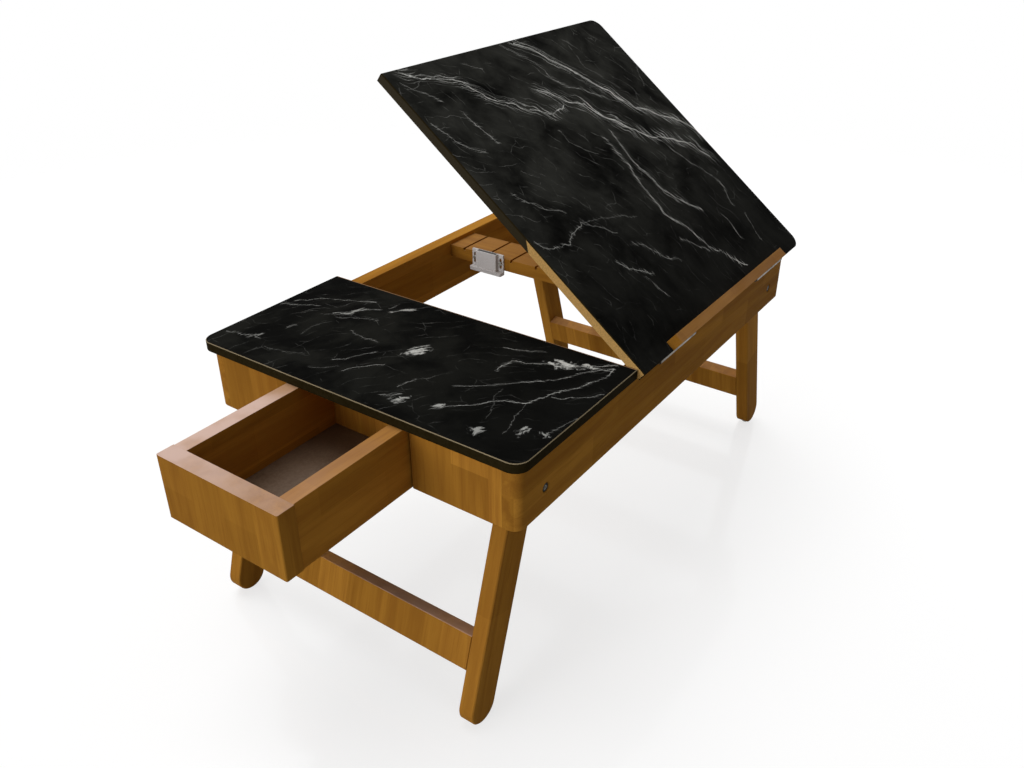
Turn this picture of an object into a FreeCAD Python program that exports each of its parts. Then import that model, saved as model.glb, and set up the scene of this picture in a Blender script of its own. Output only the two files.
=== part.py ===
import FreeCAD, Part
import math
import os

# Folding laptop stand with a drawer, in millimetres.
#
# The stand is built in table axes and moved once, at the end, so that the origin of the
# finished files is the middle of its outline, on the floor, with the drawer pulled out,
# the laptop panel propped up and both leg frames opened:
#   +X runs along the table, from the drawer end to the far end,
#   +Y runs across it, from the hinge rail at the front to the back rail,
#   +Z is up.
# In table axes x = 0 is the drawer-end edge of the top, y = 0 its hinge-side edge and
# z = 0 the floor.
#
# What moves: the drawer slides, the laptop panel turns on two butt hinges, a wire bail
# turns in clips under the panel and stands on the grooved bar, and each leg frame swings
# on two bolts. The bail is as long as its own distance from the hinge axis, so its foot
# stays at the height of that axis at every tilt.

Vector = FreeCAD.Vector
X_AXIS = Vector(1, 0, 0)
Y_AXIS = Vector(0, 1, 0)
Z_AXIS = Vector(0, 0, 1)

# ---------------------------------------------------------------- driving dimensions

# Table top: a fixed shelf at the drawer end and a tilting laptop panel
top_length = 553.5
top_width = 356.0
fixed_top_length = 177.8
split_gap = 0.8
core_thickness = 8.0
laminate_thickness = 1.0
laminate_bevel = 0.6
edge_band_thickness = 0.8
top_corner_radius = 13.0
top_overhang = 6.0

# Apron: rails run the full length, end boards stand between them
board_thickness = 15.0
apron_height = 60.0
apron_corner_radius = 9.8
eased_edge = 1.0

# Leg frames
leg_length = 227.2
leg_width = 32.5
leg_thickness = 15.0
leg_rail_gap = 3.2
leg_eased_edge = 1.0
splay_angle = 17.4
pivot_above_apron_bottom = 21.85
splay_stop_clearance = 0.1
stretcher_height = 32.8
stretcher_above_foot = 51.9
stretcher_thickness = 15.0

# Nail-on glides
glide_height = 2.5
glide_radius = 5.0
glide_crown_radius = 3.2
glide_rim_height = 0.8
glide_seat_depth = 1.2
glide_nail_radius = 0.9
glide_nail_length = 11.0

# Leg pivot hardware
bolt_radius = 3.0
bolt_head_radius = 3.5
bolt_head_length = 3.5
bolt_socket_width = 3.0
bolt_socket_depth = 2.0
bolt_recess_radius = 4.4
bolt_recess_depth = 4.3
bolt_recess_chamfer = 0.7
bolt_tail = 1.5
washer_radius = 7.0
inner_washer_thickness = 1.2
nut_width = 10.0
nut_thickness = 5.0
pivot_running_clearance = 0.08
leg_side_clearance = 0.15

# Drawer
drawer_width = 132.7
drawer_length = 178.8
drawer_front_thickness = 16.4
drawer_side_thickness = 14.4
drawer_front_overlap = 1.0
drawer_back_thickness = 9.0
drawer_bottom_thickness = 4.5
drawer_rabbet_width = 6.0
drawer_bottom_clearance = 0.2
drawer_corner_round = 1.5
drawer_side_clearance = 0.8
drawer_under_clearance = 0.2
drawer_top_clearance = 0.3
drawer_stop_clearance = 0.1

# Drawer bay
guide_thickness = 15.0
guide_relief = 7.0
runner_width = 25.0
runner_height = 6.0
stop_rail_width = 12.0
stop_block_width = 80.0
stop_block_length = 12.0
stop_block_inset = 1.7
stop_block_clearance = 0.4
bay_rail_thickness = 12.0
bay_rail_height = 26.0
bay_rail_drop = 6.2

# Sheet steel of the hinge leaves and the bail's clips
sheet_thickness = 1.2

# Panel hinges
tilt_angle = 37.8
panel_lift = 0.3
hinge_axis_y = 1.8
hinge_length = 72.0
hinge_spacing = 224.0
hinge_shift = 4.0
hinge_leaf_width = 16.0
hinge_leaf_corner = 2.0
hinge_barrel_radius = 3.2
hinge_barrel_clearance = 0.3
hinge_knuckles = 5
hinge_knuckle_gap = 0.3
hinge_mortise_clearance = 0.3
hinge_pin_radius = 1.2
hinge_pin_head_radius = 1.9
hinge_pin_head_length = 1.0
hinge_fixed_fit = 0.02
hinge_running_fit = 0.05
hinge_screws_per_leaf = 3
hinge_screw_spacing = 27.0
hinge_screw_from_axis = 11.0

# Countersunk wood screws
screw_head_radius = 2.4
screw_shank_radius = 1.2
screw_length = 7.5
screw_hole_clearance = 0.03

# Book lip on the panel's low edge
lip_length = 266.0
lip_width = 10.0
lip_height = 9.5
lip_corner_radius = 8.5

# Grooved bar between the rails, and the wire bail that stands on it
bar_width = 45.9
bar_from_drawer_end = 342.9
bar_thickness = 14.4
bail_bar_clearance = 0.35
groove_count = 6
groove_pitch = 33.2
groove_from_rail = 20.5
groove_width = 2.8
groove_depth = 3.0
bail_length = 113.8
bail_wire_radius = 1.25
bail_bend_radius = 4.0
bail_side_clearance = 6.0
bail_end_length = 12.0
bail_running_fit = 0.1

# Saddle clips that carry the bail
clip_width = 10.0
clip_flange_length = 9.5
clip_screw_from_wire = 6.3
clip_from_bend = 1.0

# Magnetic catch on the bar, and its strike plate on the panel
catch_from_back_rail = 55.45
catch_body_length = 28.4
catch_body_depth = 6.4
catch_height = 24.0
catch_above_bar = 4.2
catch_plate_length = 43.6
catch_plate_depth = 2.0
catch_flange_height = 4.0
catch_flange_depth = 8.2
catch_eased_edge = 0.8
catch_corner_radius = 1.6
catch_ear_slot_width = 3.4
catch_ear_slot_length = 12.5
catch_ear_slot_above_flange = 9.5
catch_front_wall = 1.2
catch_rear_wall = 0.6
catch_recess_depth = 3.0
magnet_length = 26.0
magnet_clearance = 0.1
pole_thickness = 1.0
magnet_sunk = 0.6
catch_screw_head_radius = 2.7
catch_screw_crown_radius = 2.0
catch_screw_head_height = 1.6
catch_screw_length = 10.0
strike_length = 38.0
strike_width = 12.0
strike_thickness = 0.6

# ---------------------------------------------------------------- derived places

splay = math.radians(splay_angle)
foot_radius = leg_width / 2
foot_reach = leg_length - foot_radius
top_thickness = core_thickness + laminate_thickness

pivot_z = glide_height + foot_radius + foot_reach * math.cos(splay)
apron_bottom = pivot_z - pivot_above_apron_bottom
apron_top = apron_bottom + apron_height
table_mid_y = top_width / 2

rail_start_x = top_overhang
rail_end_x = top_length - top_overhang
rail_outer_y = top_overhang
rail_inner_y = top_overhang + board_thickness
end_inner_x = rail_start_x + board_thickness
far_inner_x = rail_end_x - board_thickness

# The opened legs rest against the lower inner edge of the end board, which sets the
# distance from that board to the pivots.
pivot_inset = (foot_radius + splay_stop_clearance) / math.cos(splay)
pivot_inset += pivot_above_apron_bottom * math.tan(splay)
drawer_pivot_x = end_inner_x + pivot_inset
far_pivot_x = far_inner_x - pivot_inset
leg_outer_y = rail_inner_y + leg_rail_gap
leg_inner_y = leg_outer_y + leg_thickness

# Pulled out, the drawer's stop block meets the back of the stop rail; pushed in, its front
# is level with the end boards.
stop_rail_end_x = end_inner_x + stop_rail_width
stop_block_x = stop_rail_end_x + drawer_stop_clearance
drawer_back_x = stop_block_x + stop_block_length + stop_block_inset
drawer_front_x = drawer_back_x - drawer_length
drawer_travel = rail_start_x - drawer_front_x
drawer_closed_back_x = drawer_back_x + drawer_travel
drawer_left_y = table_mid_y - drawer_width / 2
drawer_right_y = table_mid_y + drawer_width / 2
drawer_side_left_y = drawer_left_y + drawer_front_overlap
drawer_inner_left_y = drawer_side_left_y + drawer_side_thickness
drawer_inner_right_y = drawer_right_y - drawer_front_overlap - drawer_side_thickness
drawer_low_z = apron_bottom + drawer_under_clearance
drawer_high_z = apron_top - drawer_top_clearance
bay_left_y = drawer_left_y - drawer_side_clearance
bay_right_y = drawer_right_y + drawer_side_clearance
bay_end_x = drawer_closed_back_x + drawer_stop_clearance
runner_low_z = apron_bottom - runner_height

panel_start_x = fixed_top_length + split_gap
panel_low_z = apron_top + panel_lift
panel_high_z = panel_low_z + top_thickness
panel_mid_x = (panel_start_x + top_length) / 2
hinge_drop = hinge_barrel_radius + hinge_barrel_clearance
hinge_axis_z = panel_low_z - hinge_drop
hinge_axis = Vector(0, hinge_axis_y, hinge_axis_z)
hinge_mid_x = [panel_mid_x + hinge_shift + side * hinge_spacing / 2 for side in (-1, 1)]

bar_start_x = bar_from_drawer_end
bar_end_x = bar_start_x + bar_width
bar_top_z = hinge_axis_z - bail_wire_radius - bail_bar_clearance
bar_bottom_z = bar_top_z - bar_thickness
bail_pivot = Vector(0, hinge_axis_y + bail_length, hinge_axis_z)
bail_left_x = bar_start_x - bail_side_clearance - bail_wire_radius
bail_right_x = bar_end_x + bail_side_clearance + bail_wire_radius

catch_mid_y = top_width - rail_inner_y - catch_from_back_rail
catch_top_z = bar_top_z + catch_above_bar
catch_low_z = catch_top_z - catch_height
catch_face_x = bar_start_x - catch_body_depth
catch_plate_x = bar_start_x - catch_plate_depth
magnet_face_x = catch_face_x + catch_front_wall
magnet_rear_x = bar_start_x - catch_rear_wall


# ---------------------------------------------------------------- shape helpers

def box(x_low, x_high, y_low, y_high, z_low, z_high):
    """A block between two corners."""
    return Part.makeBox(x_high - x_low, y_high - y_low, z_high - z_low, Vector(x_low, y_low, z_low))


def rod(radius, start, end):
    """A cylinder from one point to another."""
    run = end - start
    return Part.makeCylinder(radius, run.Length, start, run)


def prism(points, run):
    """A flat outline, given by its corners, pushed along run."""
    face = Part.Face(Part.makePolygon(points + points[:1]))
    return face.extrude(run)


def turned(profile, base, direction):
    """A solid of revolution. Its profile lists (height, radius) from the base along direction."""
    points = [Vector(radius, 0, height) for height, radius in profile]
    points = [Vector(0, 0, profile[0][0])] + points + [Vector(0, 0, profile[-1][0])]
    points = [point for index, point in enumerate(points) if index == 0 or point != points[index - 1]]
    solid = Part.Face(Part.makePolygon(points + points[:1])).revolve(Vector(), Z_AXIS, 360)
    solid.Placement = FreeCAD.Placement(base, FreeCAD.Rotation(Z_AXIS, direction))
    return solid


def hexagon(width, start, run):
    """A hexagonal bar of the given width across flats, from start along run."""
    radius = width / 2 / math.cos(math.pi / 6)
    corners = [
        Vector(radius * math.cos(index * math.pi / 3), radius * math.sin(index * math.pi / 3), 0)
        for index in range(6)
    ]
    bar = prism(corners, Vector(0, 0, run.Length))
    bar.Placement = FreeCAD.Placement(start, FreeCAD.Rotation(Z_AXIS, run))
    return bar


def runs_along(edge, axis):
    """True for a straight edge that is parallel to axis."""
    if not isinstance(edge.Curve, Part.Line):
        return False
    return abs(abs(edge.Curve.Direction.dot(axis)) - 1) < 1e-6


def rounded(shape, radius, axis, wanted):
    """Round the straight edges along axis whose middle point satisfies wanted."""
    edges = [edge for edge in shape.Edges if runs_along(edge, axis) and wanted(edge.CenterOfMass)]
    return shape.makeFillet(radius, edges)


def every(point):
    """An edge test that takes every edge."""
    return True


def joined(shapes):
    """One node made of several separate solids."""
    return Part.makeCompound(shapes)


def across(shape):
    """The same piece on the other side of the table's middle line."""
    return shape.mirror(Vector(0, table_mid_y, 0), Y_AXIS)


def tilted(shape):
    """Move a piece of the level panel to the tilt at which the panel is propped."""
    return shape.rotated(hinge_axis, X_AXIS, tilt_angle)


# ---------------------------------------------------------------- fasteners

def wood_screw(head_centre, direction):
    """A countersunk screw, its head flush in sheet steel at head_centre, driven along direction."""
    profile = [
        (0, screw_head_radius),
        (sheet_thickness, screw_shank_radius),
        (screw_length, screw_shank_radius),
    ]
    return turned(profile, head_centre, direction)


def screw_hole(head_centre, direction):
    """The hole that a wood screw needs in the sheet steel and the wood behind it."""
    gap = screw_hole_clearance
    profile = [
        (0, screw_head_radius + gap),
        (sheet_thickness, screw_shank_radius + gap),
        (screw_length + gap, screw_shank_radius + gap),
    ]
    return turned(profile, head_centre, direction)


def pivot_axis_points():
    """The x of both leg pivots, for loops over the four bolts."""
    return (drawer_pivot_x, far_pivot_x)


def pivot_bolt(x):
    """A socket-head bolt on the front rail, with its head sunk below the rail's face."""
    head_y = rail_outer_y + bolt_recess_depth - bolt_head_length
    end_y = leg_inner_y + leg_side_clearance + inner_washer_thickness + nut_thickness + bolt_tail
    profile = [
        (0, bolt_head_radius),
        (bolt_head_length, bolt_head_radius),
        (bolt_head_length, bolt_radius),
        (end_y - head_y, bolt_radius),
    ]
    bolt = turned(profile, Vector(x, head_y, pivot_z), Y_AXIS)
    socket = hexagon(bolt_socket_width, Vector(x, head_y, pivot_z), Vector(0, bolt_socket_depth, 0))
    return bolt.cut(socket)


def washer(x, y, thickness):
    """A plain washer on a pivot bolt, from y inwards."""
    outside = rod(washer_radius, Vector(x, y, pivot_z), Vector(x, y + thickness, pivot_z))
    hole_radius = bolt_radius + pivot_running_clearance
    return outside.cut(rod(hole_radius, Vector(x, y, pivot_z), Vector(x, y + thickness, pivot_z)))


def pivot_washers(x):
    """The spacer between rail and leg, and the washer under the nut."""
    spacer = washer(x, rail_inner_y, leg_rail_gap - leg_side_clearance)
    under_nut = washer(x, leg_inner_y + leg_side_clearance, inner_washer_thickness)
    return [spacer, under_nut]


def pivot_nut(x):
    """The nut on the inner end of a pivot bolt."""
    start = Vector(x, leg_inner_y + leg_side_clearance + inner_washer_thickness, pivot_z)
    run = Vector(0, nut_thickness, 0)
    return hexagon(nut_width, start, run).cut(rod(bolt_radius + hinge_fixed_fit, start, start + run))


# ---------------------------------------------------------------- hinges

def knuckle_spans(first):
    """The ends, along the hinge, of every second knuckle from the one numbered first."""
    pitch = hinge_length / hinge_knuckles
    starts = [-hinge_length / 2 + index * pitch for index in range(first, hinge_knuckles, 2)]
    return [(start, start + pitch) for start in starts]


def hinge_screw_places():
    """Screw places along the hinge, about its middle."""
    half = (hinge_screws_per_leaf - 1) / 2
    return [(index - half) * hinge_screw_spacing for index in range(hinge_screws_per_leaf)]


def hinge_leaf(x_mid, plate_low, first_knuckle, pin_fit):
    """One leaf about the hinge axis: a plate with its own knuckles rolled on its edge.

    plate_low is the plate's lower face, measured up from the axis.
    """
    half = hinge_length / 2
    plate = box(-half, half, 0, hinge_leaf_width, plate_low, plate_low + sheet_thickness)
    plate = rounded(plate, hinge_leaf_corner, Z_AXIS, lambda point: point.y > hinge_leaf_width / 2)
    gap = hinge_knuckle_gap / 2
    for start, end in knuckle_spans(1 - first_knuckle):
        sweep_radius = hinge_barrel_radius + hinge_barrel_clearance
        plate = plate.cut(rod(sweep_radius, Vector(start - gap, 0, 0), Vector(end + gap, 0, 0)))
    for start, end in knuckle_spans(first_knuckle):
        plate = plate.fuse(rod(hinge_barrel_radius, Vector(start + gap, 0, 0), Vector(end - gap, 0, 0)))
    bore = rod(hinge_pin_radius + pin_fit, Vector(-hinge_length, 0, 0), Vector(hinge_length, 0, 0))
    leaf = plate.cut(bore).removeSplitter()
    leaf.translate(Vector(x_mid, hinge_axis_y, hinge_axis_z))
    return leaf


def hinge_screws(x_mid, make, face_z, direction):
    """Make a screw, or its hole, at each screw place of a leaf whose open face is at face_z."""
    y = hinge_axis_y + hinge_screw_from_axis
    return [make(Vector(x_mid + place, y, face_z), direction) for place in hinge_screw_places()]


rail_leaf_low = -hinge_barrel_radius
rail_leaf_face_z = hinge_axis_z + rail_leaf_low + sheet_thickness
panel_leaf_low = hinge_drop - sheet_thickness
panel_leaf_face_z = hinge_axis_z + panel_leaf_low


def rail_leaf(x_mid):
    """The leaf that is let into the front rail. It carries the outer knuckles."""
    leaf = hinge_leaf(x_mid, rail_leaf_low, 0, hinge_fixed_fit)
    for hole in hinge_screws(x_mid, screw_hole, rail_leaf_face_z, -Z_AXIS):
        leaf = leaf.cut(hole)
    return leaf


def panel_leaf(x_mid):
    """The leaf that is screwed under the panel. It carries the inner knuckles."""
    leaf = hinge_leaf(x_mid, panel_leaf_low, 1, hinge_running_fit)
    for hole in hinge_screws(x_mid, screw_hole, panel_leaf_face_z, Z_AXIS):
        leaf = leaf.cut(hole)
    return leaf


def hinge_pin(x_mid):
    """The pin through all the knuckles, with a small head at each end."""
    half = hinge_length / 2
    profile = [
        (0, hinge_pin_head_radius),
        (hinge_pin_head_length, hinge_pin_head_radius),
        (hinge_pin_head_length, hinge_pin_radius),
        (hinge_pin_head_length + hinge_length, hinge_pin_radius),
        (hinge_pin_head_length + hinge_length, hinge_pin_head_radius),
        (2 * hinge_pin_head_length + hinge_length, hinge_pin_head_radius),
    ]
    base = Vector(x_mid - half - hinge_pin_head_length, hinge_axis_y, hinge_axis_z)
    return turned(profile, base, X_AXIS)


# ---------------------------------------------------------------- apron and bay

def rail(with_hinges):
    """A long side board of the apron, drawn as the front one."""
    board = box(rail_start_x, rail_end_x, rail_outer_y, rail_inner_y, apron_bottom, apron_top)
    outer = lambda point: point.y < rail_outer_y + board_thickness / 2
    board = rounded(board, apron_corner_radius, Z_AXIS, outer)
    board = rounded(board, eased_edge, X_AXIS, lambda point: point.z < apron_bottom + eased_edge)
    for x in pivot_axis_points():
        recess_end = rail_outer_y + bolt_recess_depth
        recess = [
            (0, bolt_recess_radius + bolt_recess_chamfer),
            (bolt_recess_chamfer, bolt_recess_radius),
            (bolt_recess_depth, bolt_recess_radius),
        ]
        board = board.cut(turned(recess, Vector(x, rail_outer_y, pivot_z), Y_AXIS))
        hole_radius = bolt_radius + hinge_fixed_fit
        hole = rod(hole_radius, Vector(x, recess_end, pivot_z), Vector(x, rail_inner_y, pivot_z))
        board = board.cut(hole)
    if with_hinges:
        for x_mid in hinge_mid_x:
            board = board.cut(hinge_mortise(x_mid))
            for hole in hinge_screws(x_mid, screw_hole, rail_leaf_face_z, -Z_AXIS):
                board = board.cut(hole)
    return board


def hinge_mortise(x_mid):
    """The open notch in the rail's top that takes the closed hinge."""
    half = hinge_length / 2 + hinge_mortise_clearance
    inner_y = hinge_axis_y + hinge_leaf_width + hinge_mortise_clearance
    floor_z = hinge_axis_z + rail_leaf_low
    return box(x_mid - half, x_mid + half, 0, inner_y, floor_z, panel_high_z)


def end_board(x_low, x_high, y_low, y_high):
    """A board across one end of the apron, between the rails or beside the drawer."""
    board = box(x_low, x_high, y_low, y_high, apron_bottom, apron_top)
    outer_x = x_low if x_low < top_length / 2 else x_high
    low_edge = Vector(outer_x, (y_low + y_high) / 2, apron_bottom)
    return rounded(board, eased_edge, Y_AXIS, lambda point: point.distanceToPoint(low_edge) < eased_edge)


def drawer_guide():
    """The board beside the drawer, drawn on the front side. Its low rear corner clears the folded legs."""
    relief = guide_relief
    corners = [
        Vector(end_inner_x, bay_left_y, apron_bottom),
        Vector(bay_end_x - relief, bay_left_y, apron_bottom),
        Vector(bay_end_x, bay_left_y, apron_bottom + relief),
        Vector(bay_end_x, bay_left_y, apron_top),
        Vector(end_inner_x, bay_left_y, apron_top),
    ]
    return prism(corners, Vector(0, -guide_thickness, 0))


def drawer_runner():
    """The strip under a guide that carries the drawer's side, drawn on the front side."""
    outer_y = bay_left_y - guide_thickness
    end_x = bay_end_x - guide_relief
    return box(stop_rail_end_x, end_x, outer_y, outer_y + runner_width, runner_low_z, apron_bottom)


def drawer_stop_rail():
    """The cross strip at the drawer's mouth, which holds the drawer in at full pull."""
    low_y = bay_left_y - guide_thickness
    high_y = bay_right_y + guide_thickness
    return box(end_inner_x, stop_rail_end_x, low_y, high_y, runner_low_z, apron_bottom)


def bay_rail():
    """The cross rail on the rear ends of the guides, which the closed drawer meets."""
    low_y = bay_left_y - guide_thickness
    high_y = bay_right_y + guide_thickness
    high_z = apron_top - bay_rail_drop
    rail_end = bay_end_x + bay_rail_thickness
    return box(bay_end_x, rail_end, low_y, high_y, high_z - bay_rail_height, high_z)


def grooved_bar():
    """The cross bar between the rails, with the grooves that the bail can be set in."""
    bar = box(bar_start_x, bar_end_x, rail_inner_y, top_width - rail_inner_y, bar_bottom_z, bar_top_z)
    for index in range(groove_count):
        y = top_width - rail_inner_y - groove_from_rail - index * groove_pitch
        low_y = y - groove_width / 2
        high_y = y + groove_width / 2
        bar = bar.cut(box(bar_start_x, bar_end_x, low_y, high_y, bar_top_z - groove_depth, bar_top_z))
    for hole in catch_screw_holes():
        bar = bar.cut(hole)
    return bar


# ---------------------------------------------------------------- catch and strike

def catch_ear_places():
    """The y of the middle of each ear of the catch."""
    offset = (catch_plate_length + catch_body_length) / 4
    return (catch_mid_y - offset, catch_mid_y + offset)


def catch_screw_z():
    """The height of the screws, at the middle of the ear slots."""
    return catch_low_z + catch_flange_height + catch_ear_slot_above_flange


def catch_body():
    """The catch's moulding: a back plate with slotted ears, a foot flange and the magnet's box."""
    front_y = catch_mid_y - catch_body_length / 2
    rear_y = catch_mid_y + catch_body_length / 2
    low_y = catch_mid_y - catch_plate_length / 2
    high_y = catch_mid_y + catch_plate_length / 2
    plate = box(catch_plate_x, bar_start_x, low_y, high_y, catch_low_z, catch_top_z)
    plate = rounded(plate, catch_eased_edge, X_AXIS, lambda point: point.z > catch_screw_z())
    case = box(catch_face_x, bar_start_x, front_y, rear_y, catch_low_z, catch_top_z)
    case = rounded(case, catch_eased_edge, Z_AXIS, lambda point: point.x < catch_plate_x)
    flange_x = bar_start_x - catch_flange_depth
    flange = box(flange_x, bar_start_x, low_y, high_y, catch_low_z, catch_low_z + catch_flange_height)
    flange = rounded(flange, catch_corner_radius, Z_AXIS, lambda point: point.x < catch_plate_x)
    body = plate.fuse([case, flange]).removeSplitter()
    for y in catch_ear_places():
        body = body.cut(ear_slot(y))
    recess = box(
        magnet_face_x,
        magnet_rear_x,
        catch_mid_y - magnet_length / 2 - magnet_clearance,
        catch_mid_y + magnet_length / 2 + magnet_clearance,
        catch_top_z - catch_recess_depth,
        catch_top_z,
    )
    return body.cut(recess)


def ear_slot(y):
    """An upright slot with round ends through an ear of the catch."""
    radius = catch_ear_slot_width / 2
    run = catch_ear_slot_length / 2 - radius
    low = catch_screw_z() - run
    high = catch_screw_z() + run
    slot = box(catch_plate_x, bar_start_x, y - radius, y + radius, low, high)
    ends = [rod(radius, Vector(catch_plate_x, y, z), Vector(bar_start_x, y, z)) for z in (low, high)]
    return slot.fuse(ends)


def catch_magnet():
    """The magnet between its two steel pole plates, level with the top of the catch."""
    low_y = catch_mid_y - magnet_length / 2
    high_y = catch_mid_y + magnet_length / 2
    low_z = catch_top_z - catch_recess_depth
    front_x = magnet_face_x + pole_thickness
    rear_x = magnet_rear_x - pole_thickness
    near_pole = box(magnet_face_x, front_x, low_y, high_y, low_z, catch_top_z)
    far_pole = box(rear_x, magnet_rear_x, low_y, high_y, low_z, catch_top_z)
    magnet = box(front_x, rear_x, low_y, high_y, low_z, catch_top_z - magnet_sunk)
    return joined([near_pole, magnet, far_pole])


def catch_screws():
    """Two round-headed screws through the ears into the bar."""
    profile = [
        (0, catch_screw_crown_radius),
        (catch_screw_head_height, catch_screw_head_radius),
        (catch_screw_head_height, screw_shank_radius),
        (catch_screw_head_height + catch_screw_length, screw_shank_radius),
    ]
    start_x = catch_plate_x - catch_screw_head_height
    return joined([turned(profile, Vector(start_x, y, catch_screw_z()), X_AXIS) for y in catch_ear_places()])


def catch_screw_holes():
    """Pilot holes in the bar for the catch's screws."""
    radius = screw_shank_radius + screw_hole_clearance
    end_x = catch_plate_x + catch_screw_length + screw_hole_clearance
    z = catch_screw_z()
    return [rod(radius, Vector(bar_start_x, y, z), Vector(end_x, y, z)) for y in catch_ear_places()]


def strike_plate():
    """The thin steel plate under the panel that the magnet holds."""
    mid_x = (catch_face_x + bar_start_x) / 2
    low_y = catch_mid_y - strike_length / 2
    plate = box(
        mid_x - strike_width / 2,
        mid_x + strike_width / 2,
        low_y,
        low_y + strike_length,
        panel_low_z - strike_thickness,
        panel_low_z,
    )
    return rounded(plate, hinge_leaf_corner, Z_AXIS, every)


# ---------------------------------------------------------------- tops

def slab(x_low, x_high, z_low, z_high, inset, rounded_end_x):
    """A board of the top. The corners at rounded_end_x are round, the others square.

    inset draws in the round end and the two long sides.
    """
    if rounded_end_x == x_low:
        x_low = x_low + inset
        end_x = x_low
    else:
        x_high = x_high - inset
        end_x = x_high
    board = box(x_low, x_high, inset, top_width - inset, z_low, z_high)
    radius = top_corner_radius - inset
    return rounded(board, radius, Z_AXIS, lambda point: abs(point.x - end_x) < radius)


def top_pieces(x_low, x_high, z_low, rounded_end_x):
    """The core, the edge band round its three outer sides and the laminate of one top."""
    core_high = z_low + core_thickness
    core = slab(x_low, x_high, z_low, core_high, edge_band_thickness, rounded_end_x)
    band = slab(x_low, x_high, z_low, core_high, 0, rounded_end_x).cut(core)
    laminate = slab(x_low, x_high, core_high, core_high + laminate_thickness, 0, rounded_end_x)
    top_edges = [edge for edge in laminate.Edges if edge.BoundBox.ZMin > core_high + laminate_thickness / 2]
    laminate = laminate.makeChamfer(laminate_bevel, top_edges)
    return core, band, laminate


def book_lip():
    """The strip along the panel's low edge that stops a laptop or book from sliding off."""
    low_x = panel_mid_x - lip_length / 2
    high_x = panel_mid_x + lip_length / 2
    strip = box(low_x, high_x, 0, lip_width, panel_high_z, panel_high_z + lip_height)
    strip = rounded(strip, lip_corner_radius, Y_AXIS, lambda point: point.z > panel_high_z + lip_height / 2)
    return tilted(strip)


def drilled_panel_core(core):
    """The panel's core with pilot holes for the hinge and clip screws."""
    holes = []
    for x_mid in hinge_mid_x:
        holes += hinge_screws(x_mid, screw_hole, panel_leaf_face_z, Z_AXIS)
    holes += [screw_hole(place, Z_AXIS) for place in clip_screw_places()]
    for hole in holes:
        core = core.cut(hole)
    return core


# ---------------------------------------------------------------- bail and clips

def bend(corner, before, after):
    """A quarter bend of the bail's wire at a square corner between two other points."""
    back = (before - corner).normalize()
    ahead = (after - corner).normalize()
    centre = corner + (back + ahead) * bail_bend_radius
    start = corner + back * bail_bend_radius
    section = Part.Face(Part.Wire(Part.makeCircle(bail_wire_radius, start, back)))
    return section.revolve(centre, ahead.cross(back), 90)


def level_bail():
    """The wire bail as it lies under the level panel: two arms, a foot and two turned-out ends."""
    pivot_y = bail_pivot.y
    foot_y = pivot_y + bail_length
    z = hinge_axis_z
    points = [
        Vector(bail_left_x - bail_end_length, pivot_y, z),
        Vector(bail_left_x, pivot_y, z),
        Vector(bail_left_x, foot_y, z),
        Vector(bail_right_x, foot_y, z),
        Vector(bail_right_x, pivot_y, z),
        Vector(bail_right_x + bail_end_length, pivot_y, z),
    ]
    last = len(points) - 2
    pieces = [bend(points[i], points[i - 1], points[i + 1]) for i in range(1, last + 1)]
    for index, (start, end) in enumerate(zip(points, points[1:])):
        along = (end - start).normalize() * bail_bend_radius
        start = start if index == 0 else start + along
        end = end if index == last else end - along
        pieces.append(rod(bail_wire_radius, start, end))
    return pieces[0].fuse(pieces[1:]).removeSplitter()


def prop_bail():
    """The bail with its foot on the bar. It turns back from the panel by twice the tilt."""
    return tilted(level_bail().rotated(bail_pivot, X_AXIS, -2 * tilt_angle))


def clip_mid_x():
    """The x of the middle of each clip, just outside the bail's bends."""
    offset = bail_bend_radius + clip_from_bend + clip_width / 2
    return (bail_left_x - offset, bail_right_x + offset)


def clip_screw_places():
    """Where the clip screws' heads sit, on the outer face of the flanges."""
    z = panel_low_z - sheet_thickness
    reach = clip_screw_from_wire
    return [Vector(x, bail_pivot.y + side * reach, z) for x in clip_mid_x() for side in (-1, 1)]


def saddle_clip(x_mid):
    """A strap over one turned-out end of the bail, with a flange on each side of it."""
    low_x = x_mid - clip_width / 2
    high_x = x_mid + clip_width / 2
    y = bail_pivot.y
    inner = bail_wire_radius + bail_running_fit
    outer = inner + sheet_thickness
    wire_start = Vector(low_x, y, hinge_axis_z)
    wire_end = Vector(high_x, y, hinge_axis_z)
    flange = box(low_x, high_x, y - clip_flange_length, y + clip_flange_length,
                 panel_low_z - sheet_thickness, panel_low_z)
    hump = box(low_x, high_x, y - outer, y + outer, hinge_axis_z, panel_low_z)
    channel = box(low_x, high_x, y - inner, y + inner, hinge_axis_z, panel_low_z)
    strap = flange.fuse([hump, rod(outer, wire_start, wire_end)])
    strap = strap.cut(channel.fuse(rod(inner, wire_start, wire_end))).removeSplitter()
    for place in clip_screw_places():
        strap = strap.cut(screw_hole(place, Z_AXIS))
    return tilted(strap)


# ---------------------------------------------------------------- drawer

def drawer_rabbet():
    """The space that the drawer's bottom and its small clearance take out of the four walls."""
    reach = drawer_rabbet_width
    return box(
        drawer_front_x + drawer_front_thickness - reach,
        drawer_back_x - drawer_back_thickness + reach,
        drawer_inner_left_y - reach,
        drawer_inner_right_y + reach,
        drawer_low_z,
        drawer_low_z + drawer_bottom_thickness,
    )


def drawer_bottom():
    """The thin bottom panel, let into the rabbet from below."""
    reach = drawer_rabbet_width - drawer_bottom_clearance
    return box(
        drawer_front_x + drawer_front_thickness - reach,
        drawer_back_x - drawer_back_thickness + reach,
        drawer_inner_left_y - reach,
        drawer_inner_right_y + reach,
        drawer_low_z,
        drawer_low_z + drawer_bottom_thickness,
    )


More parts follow.
